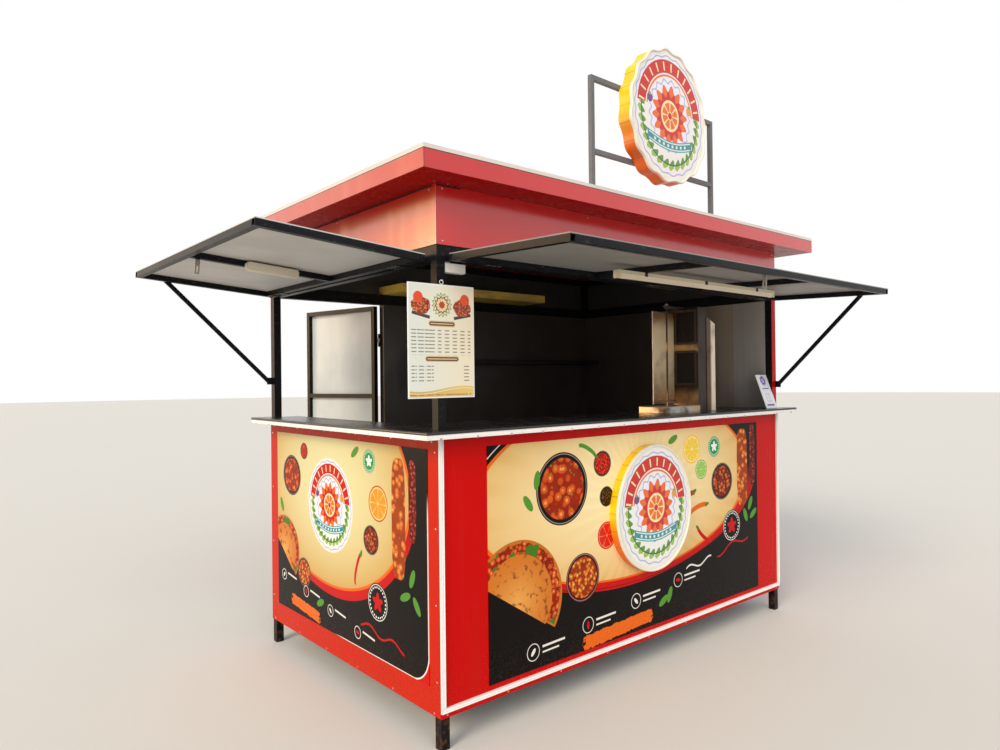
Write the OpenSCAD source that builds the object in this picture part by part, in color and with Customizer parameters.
// Street food kiosk on four steel legs: a tube frame clad in red sheet, an L-shaped
// serving counter on the front and left sides, two top-hung flaps held out by struts,
// a back door that stands open, a flat overhanging roof and a round sign on a stand.
// Origin: centre of the bottom face of the front left leg. X runs right, Y to the back.

/* [Body] */
// Width over the side cladding
body_w = 2440; // [2200:10:2800]
// Depth over the front and back cladding
body_d = 1520; // [1400:10:1900]
// Ground to the bottom edge of the cladding
leg_h = 120; // [80:5:200]
// Side of the square post tube
post_s = 38; // [32:1:50]
// Wall of the square steel tubes
tube_t = 2; // [1.5:0.5:3]
// Thickness of the plate that closes each leg
foot_plate = 4; // [3:1:8]
// Thickness of the outer cladding sheet
skin_t = 4; // [3:0.5:6]
// Thickness of the inner lining sheet
lining_t = 3; // [2:0.5:5]
// Open joint between neighbouring sheets
joint_gap = 1; // [0.5:0.5:2]
// Height of the base and counter rails
rail_h = 38; // [30:1:50]
// Thickness of the floor board
floor_t = 12; // [9:1:20]

/* [Counter] */
// Ground to the top of the counter
counter_z = 1183; // [1100:1:1220]
// Thickness of the counter slab
counter_t = 28; // [20:1:40]
// Counter overhang past the side walls
over_side = 99; // [60:1:110]
// Counter overhang past the front wall
over_front = 73; // [50:1:90]
// Left counter overhang past the back wall
over_back = 19; // [10:1:30]
// Depth of the front counter behind the wall face
front_in = 360; // [250:5:420]
// Depth of the left counter behind the wall face
left_in = 130; // [100:5:180]
// Thickness of the light strip on the counter edge
edge_t = 6; // [4:1:9]

/* [Roof] */
// Ground to the underside of the header rails
header_z = 1811; // [1780:1:1900]
// Height of the header rails
header_h = 60; // [50:1:80]
// Height of the fascia band
fascia_h = 222; // [180:1:280]
// Height of the roof edge board
cap_h = 68; // [50:1:90]
// Roof overhang past the side walls
cap_side = 155; // [130:1:200]
// Roof overhang past the front and back walls
cap_front = 150; // [140:1:200]
// Thickness of the roof sheet
sheet_t = 14; // [8:1:20]
// Number of roof joists
joists = 5; // [3:1:7]

/* [Flaps] */
// Hinge axis height above the header underside
pin_up = 1; // [0:0.5:3]
// Hinge axis distance in front of the wall face
pin_out = 8; // [8:0.5:12]
// Length of the front flap from its hinge axis
front_len = 630; // [560:1:640]
// Length of the left flap from its hinge axis
left_len = 655; // [560:1:665]
// Rise of the open front flap in degrees
front_tilt = -2; // [-5:0.5:5]
// Rise of the open left flap in degrees
left_tilt = 4.5; // [0:0.5:8]
// Side of the flap frame tube
flap_s = 25; // [20:1:30]
// Thickness of the flap sheet
flap_sheet = 4; // [3:0.5:6]
// Flap side edge to the struts
strut_gap = 5.5; // [5:0.5:10]
// Near end of each flap from the corner post centre
flap_near = 22; // [20:1:60]
// Bars across the front flap between its ends
front_bars = 2; // [1:1:3]
// Bars across the left flap between its ends
left_bars = 1; // [1:1:3]

/* [Struts] */
// Width of a strut
strut_w = 20; // [16:1:22]
// Thickness of a strut
strut_t = 12; // [8:1:13]
// Front strut foot bolt height under the hinge axis
front_drop = 490; // [420:5:500]
// Left strut foot bolt height under the hinge axis
left_drop = 440; // [400:5:500]
// Strut foot bolt distance in front of the wall face
foot_out = 23; // [20:1:30]
// Distance of the strut top bolt along the front flap
front_reach = 497; // [450:1:520]
// Distance of the strut top bolt along the left flap
left_reach = 525; // [450:1:540]
// Radius of the strut bolts
bolt_r = 5; // [4:0.5:6]

/* [Door] */
// Clear width of the doorway
door_w = 625; // [540:5:660]
// Gap around the door leaf
door_gap = 5; // [5:0.5:8]
// Opening angle of the door as it stands
door_open = 77; // [0:1:100]
// Side of the door frame tube
door_s = 25; // [20:1:30]
// Ground to the middle of the door's cross bar
door_mid = 1277; // [900:1:1400]
// Height of the lower end of the door handle
handle_z0 = 1025; // [900:5:1200]
// Length of the door handle
handle_l = 150; // [100:5:200]
// How far the handle stands in from the free edge of the doorway
handle_in = 45; // [30:1:80]
// How far the handle stands off the wall face
handle_out = 34; // [20:1:60]

/* [Hinges] */
// Length of one hinge
hinge_l = 75; // [60:1:100]
// Radius of the hinge barrel
barrel_r = 6; // [5:0.5:7]
// Radius of the hinge pin
pin_r = 3; // [2.5:0.5:4]
// Thickness of a hinge leaf
leaf_t = 3; // [2:0.5:3]
// Width of a hinge leaf
leaf_w = 35; // [25:1:40]

/* [Signs] */
// Width of the roof sign
roof_sign_w = 580; // [400:5:700]
// Height of the roof sign
roof_sign_h = 628; // [400:2:800]
// Depth of the roof sign box
roof_sign_t = 75; // [50:1:100]
// Roof top to the middle of the roof sign
roof_sign_up = 403; // [350:1:500]
// Distance between the sign stand's posts
stand_w = 896; // [750:2:1200]
// Height of the sign stand above the roof
stand_h = 500; // [400:5:600]
// Roof to the middle of the stand's lower bar
stand_low = 174; // [120:2:220]
// Side of the sign stand tube
stand_s = 20; // [16:1:30]
// Width of the wall sign
wall_sign_w = 556; // [400:2:600]
// Height of the wall sign
wall_sign_h = 596; // [400:2:640]
// Depth of the wall sign
wall_sign_t = 52; // [30:1:55]
// Ground to the middle of the wall sign
wall_sign_z = 754; // [600:2:800]
// Thickness of the printed panels
print_t = 3; // [1:0.5:4]
// Width of the front printed panel
front_print_w = 1980; // [1500:10:2100]
// Margin at each end of the left printed panel
left_print_in = 70; // [60:1:200]
// Ground to the bottom of the front printed panel
front_print_z = 180; // [165:1:250]
// Ground to the bottom of the left printed panel
left_print_z = 222; // [165:1:300]
// Counter underside to the top of the printed panels
print_down = 46; // [20:1:80]
// Width of the light strips on the front wall
trim_w = 18; // [12:1:25]
// Depth of the light strips on the front wall
trim_t = 9; // [6:1:12]
// Cladding bottom edge to the bottom light strip
trim_up = 21; // [10:1:30]
// Width of the menu board
menu_w = 300; // [210:1:320]
// Height of the menu board
menu_h = 420; // [297:1:430]
// Thickness of the menu board
menu_t = 4; // [2:0.5:4]
// Counter top to the bottom of the menu board
menu_up = 119; // [60:1:150]

/* [Fittings] */
// Length of the lamp batten under the front flap
lamp_l = 1200; // [600:10:1500]
// Side of the lamp batten
lamp_s = 34; // [25:1:40]
// Distance of the lamp batten along the front flap
lamp_reach = 290; // [150:5:330]
// Length of the lamp driver box under the left flap
driver_l = 215; // [100:5:250]
// Width and height of the lamp driver box
driver_s = 36; // [20:1:40]
// Distance of the lamp driver box from the left flap's hinge
driver_reach = 200; // [100:5:300]
// Length of the hasp straps under the flaps
hasp_l = 60; // [30:1:60]
// Width of the hasp straps
hasp_w = 18; // [12:1:20]
// Height of the grill above the counter
grill_h = 570; // [450:5:600]
// Width of the grill's burner column
grill_w = 84; // [70:1:120]
// Depth of the grill's burner column
grill_d = 160; // [130:1:200]
// Grill column to the right wall
grill_side = 503; // [300:1:700]
// Grill column to the front wall face
grill_back = 120; // [100:1:150]
// Length of the grill's tray beside the column
tray_l = 300; // [220:5:340]
// Height of the grill's tray
tray_h = 30; // [20:1:50]
// Width of the grill's heat shield
shield_w = 190; // [150:1:250]
// Side of the windows in the grill's burner column
window_h = 185; // [150:1:200]
// Depth of the overhead shelf
high_shelf_d = 256; // [150:2:300]
// Length of the overhead shelf
high_shelf_l = 1110; // [800:10:1250]
// Thickness of the overhead shelf
high_shelf_t = 46; // [18:1:50]
// Depth of the lower back shelf
low_shelf_d = 132; // [100:1:250]
// Length of the lower back shelf
low_shelf_l = 1230; // [800:10:1280]
// Ground to the top of the lower back shelf
low_shelf_z = 1494; // [1300:2:1550]
// Thickness of the lower back shelf
low_shelf_t = 28; // [15:1:30]
// Front right post to the joint in the side lining
lining_split = 208; // [100:1:600]

/* [Hidden] */
$fn = 48;
slip = 0.3;
eps = 0.5;
inset = skin_t + post_s / 2;
half = post_s / 2;
x_left = -inset;
x_right = x_left + body_w;
y_front = -inset;
y_back = y_front + body_d;
x_mid = (x_left + x_right) / 2;
px = x_right - inset;
py = y_back - inset;
slab_z = counter_z - counter_t;
header_top = header_z + header_h;
soffit_z = header_top + fascia_h;
cap_top = soffit_z + cap_h;
roof_top = cap_top + sheet_t;
floor_z = leg_h + rail_h + floor_t;
pin_z = header_z + pin_up;
flap_v0 = -2;
flap_u0 = 10;
flap_gap = 5;
front_x0 = flap_near;
front_x1 = px - half + 2 * flap_gap + half / 4;
left_y0 = flap_near + 5;
left_y1 = py - half + half / 4;
strut_off = strut_gap + strut_t / 2;
front_strut_x = front_x1 + strut_off;
left_strut_y = left_y1 + strut_off;
tube_mid_v = flap_v0 + flap_s / 2;
front_top_y = y_front - pin_out - front_reach * cos(front_tilt) + tube_mid_v * sin(front_tilt);
front_top_z = pin_z + front_reach * sin(front_tilt) + tube_mid_v * cos(front_tilt);
left_top_x = x_left - pin_out - left_reach * cos(left_tilt) + tube_mid_v * sin(left_tilt);
left_top_z = pin_z + left_reach * sin(left_tilt) + tube_mid_v * cos(left_tilt);
front_foot_z = pin_z - front_drop;
left_foot_z = pin_z - left_drop;
front_strut_dy = front_top_y - (y_front - foot_out);
left_strut_dx = left_top_x - (x_left - foot_out);
strut_dz_front = front_top_z - front_foot_z;
strut_dz_left = left_top_z - left_foot_z;
front_strut_l = norm([front_strut_dy, strut_dz_front]);
left_strut_l = norm([left_strut_dx, strut_dz_left]);
front_lean = atan2(-front_strut_dy, strut_dz_front);
left_lean = atan2(-left_strut_dx, strut_dz_left);
door_x0 = half;
door_x1 = half + door_w;
door_post_x = door_x1 + half;
door_pin_x = door_x1;
door_pin_y = y_back + barrel_r + 1;
door_z0 = leg_h + rail_h + door_gap;
door_z1 = header_z - door_gap;
stand_y = y_front - cap_front / 2;
menu_z = counter_z + menu_up + menu_h;
roof_sign_z = roof_top + roof_sign_up;
red = [0.78, 0.05, 0.03];
black = [0.05, 0.05, 0.06];
white = [0.93, 0.92, 0.9];
grey = [0.55, 0.54, 0.53];
steel = [0.7, 0.69, 0.66];

module block(lo, hi) {
  translate(lo) cube(hi - lo);
}

module tube_z(x, y, z0, z1, s) {
  difference() {
    block([x - s / 2, y - s / 2, z0], [x + s / 2, y + s / 2, z1]);
    block([x - s / 2 + tube_t, y - s / 2 + tube_t, z0 - eps],
          [x + s / 2 - tube_t, y + s / 2 - tube_t, z1 + eps]);
  }
}

// A tube between two corners, hollow along X
module tube_x(lo, hi) {
  difference() {
    block(lo, hi);
    block([lo[0] - eps, lo[1] + tube_t, lo[2] + tube_t], [hi[0] + eps, hi[1] - tube_t, hi[2] - tube_t]);
  }
}

// A tube between two corners, hollow along Y
module tube_y(lo, hi) {
  difference() {
    block(lo, hi);
    block([lo[0] + tube_t, lo[1] - eps, lo[2] + tube_t], [hi[0] - tube_t, hi[1] + eps, hi[2] - tube_t]);
  }
}

// Four tubes between the corner posts at one height
module rail_ring(z0, z1) {
  tube_x([half, -half, z0], [px - half, half, z1]);
  tube_x([half, py - half, z0], [px - half, py + half, z1]);
  tube_y([-half, half, z0], [half, py - half, z1]);
  tube_y([px - half, half, z0], [px + half, py - half, z1]);
}

// Corner post from the ground to the roof, closed by a welded plate at its foot
module corner_post(x, y) {
  tube_z(x, y, 0, soffit_z, post_s);
  block([x - half + tube_t / 2, y - half + tube_t / 2, 0],
        [x + half - tube_t / 2, y + half - tube_t / 2, foot_plate]);
}

module corner_posts() color(black)
  for (x = [0, px], y = [0, py])
    corner_post(x, y);

module door_post() color(black) tube_z(door_post_x, py, leg_h + rail_h, header_z, post_s);

// Four rails between the posts and three joists, under the floor board
module base_frame() color(black) {
  rail_ring(leg_h, leg_h + rail_h);
  for (i = [1:3])
    translate([i * px / 4, 0, 0])
      tube_y([-half, half + slip, leg_h], [half, py - half - slip, leg_h + rail_h]);
}

module floor_board() color([0.45, 0.33, 0.22])
  block([half, half, leg_h + rail_h], [px - half, py - half, floor_z]);

module counter_rails() color(black) {
  tube_x([half, -half, slab_z - rail_h], [px - half, half, slab_z]);
  tube_y([-half, half, slab_z - rail_h], [half, py - half, slab_z]);
}

module header_rails() color(black) rail_ring(header_z, header_top);

module front_panel() color(red)
  block([x_left, y_front, leg_h], [x_right, y_front + skin_t, slab_z]);

module left_panel() color(red)
  block([x_left, y_front + skin_t, leg_h], [x_left + skin_t, y_back - skin_t, slab_z]);

// The right sheet is folded round the front of its post above the counter
module right_panel() color(red) {
  block([x_right - skin_t, y_front + skin_t, leg_h], [x_right, y_back - skin_t, header_top]);
  block([px - half, y_front, counter_z], [x_right, y_front + skin_t, header_top]);
}

// The back sheet, and strips beside, under and over the doorway
module back_cladding() color(red) {
  block([door_x1 + joint_gap, y_back - skin_t, leg_h], [x_right, y_back, header_top]);
  block([x_left, y_back - skin_t, leg_h], [half, y_back, slab_z]);
  block([-half, y_back - skin_t, slab_z + joint_gap], [half, y_back, header_z]);
  block([half + joint_gap, y_back - skin_t, leg_h], [door_x1, y_back, leg_h + rail_h]);
  block([x_left, y_back - skin_t, header_z + joint_gap], [door_x1, y_back, header_top]);
}

module inner_lining() color(grey) {
  split_y = half + lining_split;
  block([px - half - lining_t, half, floor_z], [px - half, split_y, header_z]);
  block([px - half - lining_t, split_y + joint_gap, floor_z],
        [px - half, py - half - lining_t - joint_gap, header_z]);
  block([door_x1, py - half - lining_t, floor_z], [px - half, py - half, header_z]);
  block([half + lining_t + joint_gap, half, floor_z],
        [px - half - lining_t - joint_gap, half + lining_t, slab_z - rail_h]);
  block([half, half, floor_z], [half + lining_t, py - half, slab_z - rail_h]);
}

module counter_front() color(black) {
  block([x_left - over_side + edge_t, y_front - over_front + edge_t, slab_z],
        [x_right + over_side - edge_t, -half, counter_z]);
  block([half, -half, slab_z], [px - half - lining_t - slip, y_front + front_in, counter_z]);
}

module counter_left() color(black) {
  y_in = y_front + front_in + joint_gap;
  block([x_left - over_side + edge_t, -half + joint_gap, slab_z], [-half, y_back + over_back, counter_z]);
  block([-half, half, slab_z], [half - joint_gap, py - half, counter_z]);
  block([half - joint_gap, y_in, slab_z], [x_left + left_in, py - half, counter_z]);
}

module counter_light_strip() color(white) {
  block([x_left - over_side, y_front - over_front, slab_z],
        [x_right + over_side, y_front - over_front + edge_t, counter_z]);
  y_in = y_front - over_front + edge_t + slip;
  block([x_left - over_side, y_in, slab_z], [x_left - over_side + edge_t, y_back + over_back, counter_z]);
  block([x_right + over_side - edge_t, y_in, slab_z], [x_right + over_side, -half, counter_z]);
}

// Four red boards round the walls above the header rails
module fascia() color(red) {
  block([x_left, y_front, header_top], [x_right, y_front + skin_t, soffit_z]);
  block([x_left, y_back - skin_t, header_top], [x_right, y_back, soffit_z]);
  for (x = [x_left, x_right - skin_t])
    block([x, y_front + skin_t + slip, header_top], [x + skin_t, y_back - skin_t - slip, soffit_z]);
}

// Four sheets between the wall frame and the roof edge, with open joints
module roof_soffit() color(red) {
  cx0 = x_left - cap_side + skin_t;
  cx1 = x_right + cap_side - skin_t;
  cy0 = y_front - cap_front + skin_t;
  cy1 = y_back + cap_front - skin_t;
  block([cx0, cy0, soffit_z], [cx1, half, soffit_z + skin_t]);
  block([cx0, py - half, soffit_z], [cx1, cy1, soffit_z + skin_t]);
  block([cx0, half + joint_gap, soffit_z], [half, py - half - joint_gap, soffit_z + skin_t]);
  block([px - half, half + joint_gap, soffit_z], [cx1, py - half - joint_gap, soffit_z + skin_t]);
}

// Four edge boards round the roof, mitred in the real thing and butted here
module roof_edge() color(red) {
  cx0 = x_left - cap_side;
  cx1 = x_right + cap_side;
  cy0 = y_front - cap_front;
  cy1 = y_back + cap_front;
  block([cx0, cy0, soffit_z], [cx1, cy0 + skin_t, cap_top]);
  block([cx0, cy1 - skin_t, soffit_z], [cx1, cy1, cap_top]);
  block([cx0, cy0 + skin_t + eps, soffit_z], [cx0 + skin_t, cy1 - skin_t - eps, cap_top]);
  block([cx1 - skin_t, cy0 + skin_t + eps, soffit_z], [cx1, cy1 - skin_t - eps, cap_top]);
}

// Rails between the post tops, and joists between the soffit and the roof sheet
module roof_frame() color(black) {
  jx0 = x_left - cap_side + skin_t;
  jx1 = x_right + cap_side - skin_t;
  rail_ring(soffit_z - rail_h, soffit_z);
  for (i = [0:joists - 1])
    translate([jx0 + (jx1 - jx0 - post_s) * i / (joists - 1), 0, 0])
      tube_y([0, y_front - cap_front + skin_t, soffit_z + skin_t],
             [post_s, y_back + cap_front - skin_t, cap_top]);
}

module roof_sheet() color(white)
  block([x_left - cap_side, y_front - cap_front, cap_top],
        [x_right + cap_side, y_back + cap_front, roof_top]);

// Light strips up both sides and along the foot of the front wall
module front_light_strip() color(white) {
  z0 = leg_h + trim_up;
  block([x_left, y_front - trim_t, z0], [x_right, y_front, z0 + trim_w]);
  z1 = z0 + trim_w + slip;
  block([x_left, y_front - trim_t, z1], [x_left + trim_w, y_front, slab_z]);
  block([x_right - trim_w, y_front - trim_t, z1], [x_right, y_front, slab_z]);
}

module front_print() color([0.95, 0.85, 0.62])
  block([x_mid - front_print_w / 2, y_front - print_t, front_print_z],
        [x_mid + front_print_w / 2, y_front, slab_z - print_down]);

module left_print() color([0.95, 0.85, 0.62])
  block([x_left - print_t, y_front + left_print_in, left_print_z],
        [x_left, y_back - left_print_in - over_back, slab_z - print_down]);

// An oval that is slightly narrower at the top, with a shallow wave round its rim
module sign_outline(w, h, waves, depth)
  polygon([for (i = [0:119])
    let (a = i * 3, r = 1 - depth + depth * cos(waves * a), k = 1 - 0.05 * sin(a))
      [w / 2 * r * k * cos(a), h / 2 * r * sin(a)]]);

module wall_sign() color(white)
  translate([x_mid, y_front - print_t, wall_sign_z])
    rotate([90, 0, 0])
      linear_extrude(wall_sign_t) sign_outline(wall_sign_w, wall_sign_h, 0, 0);

module roof_sign() color([0.95, 0.75, 0.1])
  translate([x_mid, stand_y - stand_s / 2, roof_sign_z])
    rotate([90, 0, 0])
      linear_extrude(roof_sign_t) sign_outline(roof_sign_w, roof_sign_h, 15, 0.02);

// Two posts with a top bar and a lower bar behind the roof sign
module sign_stand() color(black) {
  s = stand_s / 2;
  for (side = [-1, 1])
    translate([x_mid + side * stand_w / 2, stand_y, roof_top]) {
      block([-s, -s, 0], [s, s, stand_h]);
      block([-1.5 * stand_s, -1.5 * stand_s, 0], [1.5 * stand_s, 1.5 * stand_s, 4]);
    }
  for (z = [stand_low, stand_h - s])
    translate([x_mid, stand_y, roof_top + z])
      block([-stand_w / 2 + s + slip, -s, -s], [stand_w / 2 - s - slip, s, s]);
}

module menu_board() color([0.95, 0.94, 0.86])
  block([-menu_w / 2, -half - slip - menu_t, menu_z - menu_h], [menu_w / 2, -half - slip, menu_z]);

// Nail in the post and the wire loop above the board
module menu_hook() color(steel) {
  loop_r = 8;
  wire_r = 1.2;
  mid_y = -half - slip - menu_t / 2;
  loop_z = menu_z + loop_r + wire_r + slip / 2;
  translate([0, -half, loop_z + loop_r - wire_r])
    rotate([90, 0, 0]) cylinder(r = wire_r, h = menu_t + 2);
  translate([0, mid_y, loop_z])
    rotate([90, 0, 0]) rotate_extrude() translate([loop_r, 0]) circle(wire_r);
}

module power_box() color(white) {
  block([half + 1, -half + 4, header_z - 40], [half + 101, half - 6, header_z - 3]);
  block([half + 1, -half + 8, header_z - 3], [half + 31, half - 10, header_z]);
}

// Timber shelf on the back header
module high_shelf() color([0.72, 0.55, 0.2])
  block([x_mid - high_shelf_l / 2, py + half - high_shelf_d, header_top],
        [x_mid + high_shelf_l / 2, py + half, header_top + high_shelf_t]);

module low_shelf() color(black)
  block([px - half - lining_t - low_shelf_l, py - half - lining_t - low_shelf_d, low_shelf_z - low_shelf_t],
        [px - half - lining_t, py - half - lining_t, low_shelf_z]);

// Upright grill: a burner column with two deep windows that face left, a heat shield
// behind the spit, a wing plate in front, an arm on top and the spit
grill_x1 = px - grill_side;
grill_x0 = grill_x1 - grill_w;
grill_y0 = y_front + grill_back;
grill_y1 = grill_y0 + grill_d;
plate_t = 3;
card_t = 3;
card_w = 118;
card_h = 205;
card_lean = 20;
card_in = 30;
module grill_column() color(steel) {
  z0 = counter_z;
  top_z = z0 + grill_h;
  frame = 14;
  deep = 22;
  spit_x = grill_x0 - tray_l / 2 - 20;
  spit_y = (grill_y0 + grill_y1) / 2;
  difference() {
    block([grill_x0, grill_y0, z0], [grill_x1, grill_y1, top_z]);
    for (z = [z0 + grill_h - frame - window_h, z0 + grill_h - 4 * frame - 2 * window_h])
      block([grill_x0 - eps, grill_y0 + frame, z], [grill_x0 + deep, grill_y1 - frame, z + window_h]);
  }
  block([grill_x0 - shield_w, grill_y1 - plate_t, z0 + tray_h + 8], [grill_x0, grill_y1, top_z - 25]);
  block([spit_x - 10, spit_y - 10, top_z - 15], [grill_x0, spit_y + 10, top_z]);
  translate([spit_x, spit_y, z0 + tray_h + 2]) cylinder(r = 5, h = grill_h - tray_h - 10);
  translate([grill_x1, grill_y0, z0])
    rotate([90, 0, 0]) linear_extrude(plate_t)
      polygon([[-5, 0], [76, 0], [76, grill_h - 88], [-5, grill_h - 50]]);
}

module grill_tray() color(steel) {
  x1 = grill_x0 - slip;
  x0 = x1 - tray_l;
  wall = 3;
  y0 = grill_y0 - 10;
  y1 = grill_y1 + 10;
  z = counter_z;
  block([x0, y0, z], [x1, y1, z + wall]);
  block([x0, y0, z + wall], [x0 + wall, y1, z + tray_h]);
  block([x1 - wall, y0, z + wall], [x1, y1, z + tray_h]);
  block([x0, y0, z + wall], [x1, y0 + wall, z + tray_h]);
  block([x0, y1 - wall, z + wall], [x1, y1, z + tray_h]);
}

// Small card that leans back on the counter beside the right post
module counter_card() color(white)
  translate([px - half - card_w - slip, y_front - card_in, counter_z + card_t * sin(card_lean) + slip])
    rotate([-card_lean, 0, 0]) cube([card_w, card_t, card_h]);

// One hinge half that stays on the frame: barrel middle, pin, web and leaf.
// The axis runs along X through the origin, and the wall face is at +Y.
module fixed_hinge(wall) {
  bar = hinge_l / 3 - slip;
  rotate([0, 90, 0]) cylinder(r = barrel_r, h = bar, center = true);
  rotate([0, 90, 0]) cylinder(r = pin_r, h = hinge_l + 2, center = true);
  block([-bar / 2, 0, 0], [bar / 2, wall - leaf_t / 2, barrel_r]);
  block([-hinge_l / 2, wall - leaf_t, 0], [hinge_l / 2, wall, leaf_w + barrel_r]);
}

// The half that moves with the flap: two barrel ends and the leaf under the frame
module moving_hinge() {
  bar = hinge_l / 3 - slip;
  v1 = flap_v0 - slip / 3;
  difference() {
    union() {
      for (side = [-1, 1])
        translate([side * hinge_l / 3, 0, 0]) {
          rotate([0, 90, 0]) cylinder(r = barrel_r, h = bar, center = true);
          block([-bar / 2, -2 * barrel_r, v1 - leaf_t], [bar / 2, 0, v1]);
        }
      block([-hinge_l / 2, -leaf_w - flap_u0, v1 - leaf_t], [hinge_l / 2, -barrel_r - 2, v1]);
    }
    rotate([0, 90, 0]) cylinder(r = pin_r + slip / 3, h = 2 * hinge_l, center = true);
  }
}

// Local flap axes: hinge along X, the open flap reaches towards -Y, its sheet is on top
module at_front_flap()
  translate([0, y_front - pin_out, pin_z]) rotate([-front_tilt, 0, 0]) children();
module at_left_flap()
  translate([x_left - pin_out, 0, pin_z]) rotate([0, left_tilt, 0]) rotate([0, 0, -90]) children();

front_hinges_x = [front_x0 + 200, (front_x0 + front_x1) / 2, front_x1 - 200];
left_hinges_y = [left_y0 + 180, left_y1 - 180];

module hinge_leaves() color(black) {
  for (x = front_hinges_x)
    translate([x, y_front - pin_out, pin_z]) fixed_hinge(pin_out + skin_t);
  for (y = left_hinges_y)
    translate([x_left - pin_out, y, pin_z]) rotate([0, 0, -90]) fixed_hinge(pin_out + skin_t);
  for (z = door_hinges_z)
    translate([door_pin_x, door_pin_y, z]) door_hinge_fixed();
}

// Ladder of square tubes from x0 to x1, len long, with open ends on the side tubes
module flap_frame(x0, x1, len, bars) {
  v0 = flap_v0;
  v1 = flap_v0 + flap_s;
  tube_y([x0, -len, v0], [x0 + flap_s, -flap_u0, v1]);
  tube_y([x1 - flap_s, -len, v0], [x1, -flap_u0, v1]);
  tube_x([x0 + flap_s + slip, -len, v0], [x1 - flap_s - slip, -len + flap_s, v1]);
  tube_x([x0 + flap_s + slip, -flap_u0 - flap_s, v0], [x1 - flap_s - slip, -flap_u0, v1]);
  for (i = [1:bars])
    translate([x0 + (x1 - x0 - flap_s) * i / (bars + 1), 0, 0])
      tube_y([0, -len + flap_s + slip, v0], [flap_s, -flap_u0 - flap_s - slip, v1]);
}

module flap_sheet_plate(x0, x1, len)
  block([x0, -len, flap_v0 + flap_s], [x1, -flap_u0, flap_v0 + flap_s + flap_sheet]);

module front_flap_frame() color(black)
  at_front_flap() {
    flap_frame(front_x0, front_x1, front_len, front_bars);
    hasp((front_x0 + front_x1) / 2, front_len - flap_s);
  }
module front_flap_sheet() color(grey)
  at_front_flap() flap_sheet_plate(front_x0, front_x1, front_len);
module front_flap_hinges() color(black)
  at_front_flap() for (x = front_hinges_x) translate([x, 0, 0]) moving_hinge();

module left_flap_frame() color(black)
  at_left_flap() {
    flap_frame(-left_y1, -left_y0, left_len, left_bars);
    hasp(-(left_y0 + left_y1) / 2, left_len - 2.2 * flap_s);
  }
module left_flap_sheet() color(grey)
  at_left_flap() flap_sheet_plate(-left_y1, -left_y0, left_len);
module left_flap_hinges() color(black)
  at_left_flap() for (y = left_hinges_y) translate([-y, 0, 0]) moving_hinge();

// Hasp strap that hangs from the flap frame, with a slot near its end
module hasp(x, reach) {
  slot_w = 6;
  end_v = flap_v0 - hasp_l;
  difference() {
    block([x - 2, -reach - hasp_w / 2, end_v], [x + 2, -reach + hasp_w / 2, flap_v0]);
    block([x - 3, -reach - slot_w / 2, end_v + 6], [x + 3, -reach + slot_w / 2, end_v + 32]);
  }
}

module lamp(x0, x1, reach) {
  block([x0, -reach - lamp_s / 2, flap_v0 - lamp_s], [x1, -reach + lamp_s / 2, flap_v0]);
}
module front_lamp() color(white)
  at_front_flap() lamp(x_mid - lamp_l / 2 + 40, x_mid + lamp_l / 2 + 40, lamp_reach);
// Driver box on the near side of the left flap's middle bar
module lamp_driver() color(white)
  at_left_flap() {
    bar_x = -(left_y0 + left_y1) / 2 + flap_s / 2;
    block([bar_x, -driver_reach - driver_l, flap_v0 - 0.5 * driver_s],
          [bar_x + driver_s, -driver_reach, flap_v0 + 0.5 * driver_s]);
  }

// Strut in its own axes: foot bolt at the origin, the strut stands up along Z
module strut(len, side) {
  difference() {
    union() {
      block([-strut_t / 2, -strut_w / 2, 0], [strut_t / 2, strut_w / 2, len]);
      for (z = [0, len])
        translate([0, 0, z]) rotate([0, 90, 0]) cylinder(r = strut_w / 2, h = strut_t, center = true);
    }
    rotate([0, 90, 0]) cylinder(r = bolt_r + slip / 3, h = 2 * strut_t, center = true);
  }
  translate([side * (strut_t / 2 + 3), 0, len]) rotate([0, 90, 0]) cylinder(r = 8, h = 6, center = true);
}
module front_strut() color(black)
  translate([front_strut_x, y_front - foot_out, front_foot_z])
    rotate([front_lean, 0, 0]) strut(front_strut_l, 1);
module left_strut() color(black)
  translate([x_left - foot_out, left_strut_y, left_foot_z])
    rotate([0, -left_lean, 0]) rotate([0, 0, -90]) strut(left_strut_l, -1);

// Tab on the post, with the bolt that the strut turns on
module strut_bracket(wall) {
  x0 = strut_t / 2 + slip;
  block([x0, -strut_w / 2, -18], [x0 + 4, wall, 18]);
  translate([x0, 0, 0]) rotate([0, 90, 0]) mirror([0, 0, 1]) cylinder(r = bolt_r, h = strut_t + slip + 1);
  translate([x0, 0, 0]) rotate([0, 90, 0]) cylinder(r = bolt_r, h = 4);
}
module strut_brackets() color(black) {
  translate([front_strut_x, y_front - foot_out, front_foot_z]) strut_bracket(foot_out);
  translate([x_left - foot_out, left_strut_y, left_foot_z])
    mirror([0, 1, 0]) rotate([0, 0, 90]) mirror([0, 1, 0]) strut_bracket(foot_out + skin_t);
}

door_hinges_z = [door_z0 + 200, (door_z0 + door_z1) / 2, door_z1 - 200];

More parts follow.
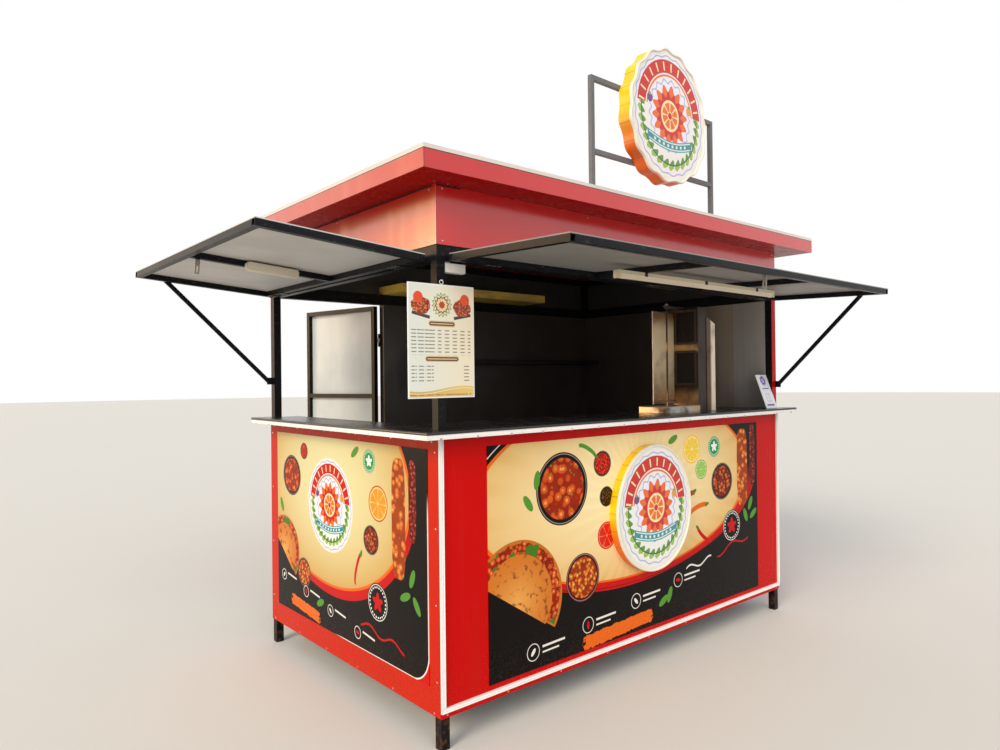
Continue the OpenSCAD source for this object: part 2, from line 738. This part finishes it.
// Door hinge parts, with the pin along Z through the origin and the wall face at -Y
module door_hinge_fixed() {
  bar = hinge_l / 3 - slip;
  cylinder(r = pin_r, h = hinge_l + 2, center = true);
  for (side = [-1, 1])
    translate([0, 0, side * hinge_l / 3]) {
      cylinder(r = barrel_r, h = bar, center = true);
      block([0, -barrel_r - 1, -bar / 2], [barrel_r + 2, -barrel_r - 1 + leaf_t, bar / 2]);
    }
  block([barrel_r + 1, -barrel_r - 1, -hinge_l / 2], [leaf_w, -barrel_r - 1 + leaf_t, hinge_l / 2]);
}
module door_hinge_moving() {
  bar = hinge_l / 3 - slip;
  difference() {
    union() {
      cylinder(r = barrel_r, h = bar, center = true);
      block([-barrel_r - 2, -barrel_r - 1, -bar / 2], [0, -barrel_r - 1 + leaf_t, bar / 2]);
      block([-leaf_w, -barrel_r - 1, -hinge_l / 2], [-barrel_r - 1, -barrel_r - 1 + leaf_t, hinge_l / 2]);
    }
    cylinder(r = pin_r + slip / 3, h = 2 * hinge_l, center = true);
  }
}

// The door is drawn shut, then turned about its pin to where it stands
module at_door()
  translate([door_pin_x, door_pin_y, 0]) rotate([0, 0, -door_open])
    translate([-door_pin_x, -door_pin_y, 0]) children();

module door_frame() color(black)
  at_door() {
    dx0 = door_x0 + door_gap;
    dx1 = door_x1 - door_gap;
    dy1 = y_back - print_t;
    dy0 = dy1 - door_s;
    for (x = [dx0, dx1 - door_s])
      tube_z(x + door_s / 2, (dy0 + dy1) / 2, door_z0, door_z1, door_s);
    for (z = [door_z0, door_mid - door_s / 2, door_z1 - door_s])
      tube_x([dx0 + door_s + slip, dy0, z], [dx1 - door_s - slip, dy1, z + door_s]);
  }
module door_sheets() color(grey)
  at_door() {
    dx0 = door_x0 + door_gap;
    dx1 = door_x1 - door_gap;
    block([dx0, y_back - print_t, door_z0], [dx1, y_back, door_z1]);
    block([dx0 + door_s, y_back - 2 * print_t, door_z0 + door_s],
          [dx1 - door_s, y_back - print_t, door_mid - door_s / 2]);
  }
module door_fittings() color(steel)
  at_door() {
    for (z = door_hinges_z)
      translate([door_pin_x, door_pin_y, z]) door_hinge_moving();
    for (z = [handle_z0 + handle_l * 0.1, handle_z0 + handle_l * 0.9])
      translate([door_x0 + handle_in, y_back, z]) rotate([-90, 0, 0]) cylinder(r = 5, h = handle_out);
    translate([door_x0 + handle_in, y_back + handle_out, handle_z0]) cylinder(r = 6, h = handle_l);
  }

corner_posts();
door_post();
base_frame();
floor_board();
counter_rails();
header_rails();
roof_frame();
front_panel();
left_panel();
right_panel();
back_cladding();
inner_lining();
counter_front();
counter_left();
counter_light_strip();
fascia();
roof_soffit();
roof_edge();
roof_sheet();
front_light_strip();
front_print();
left_print();
wall_sign();
sign_stand();
roof_sign();
menu_board();
menu_hook();
power_box();
high_shelf();
low_shelf();
grill_column();
grill_tray();
counter_card();
hinge_leaves();
strut_brackets();
front_flap_frame();
front_flap_sheet();
front_flap_hinges();
front_lamp();
left_flap_frame();
left_flap_sheet();
left_flap_hinges();
lamp_driver();
front_strut();
left_strut();
door_frame();
door_sheets();
door_fittings();
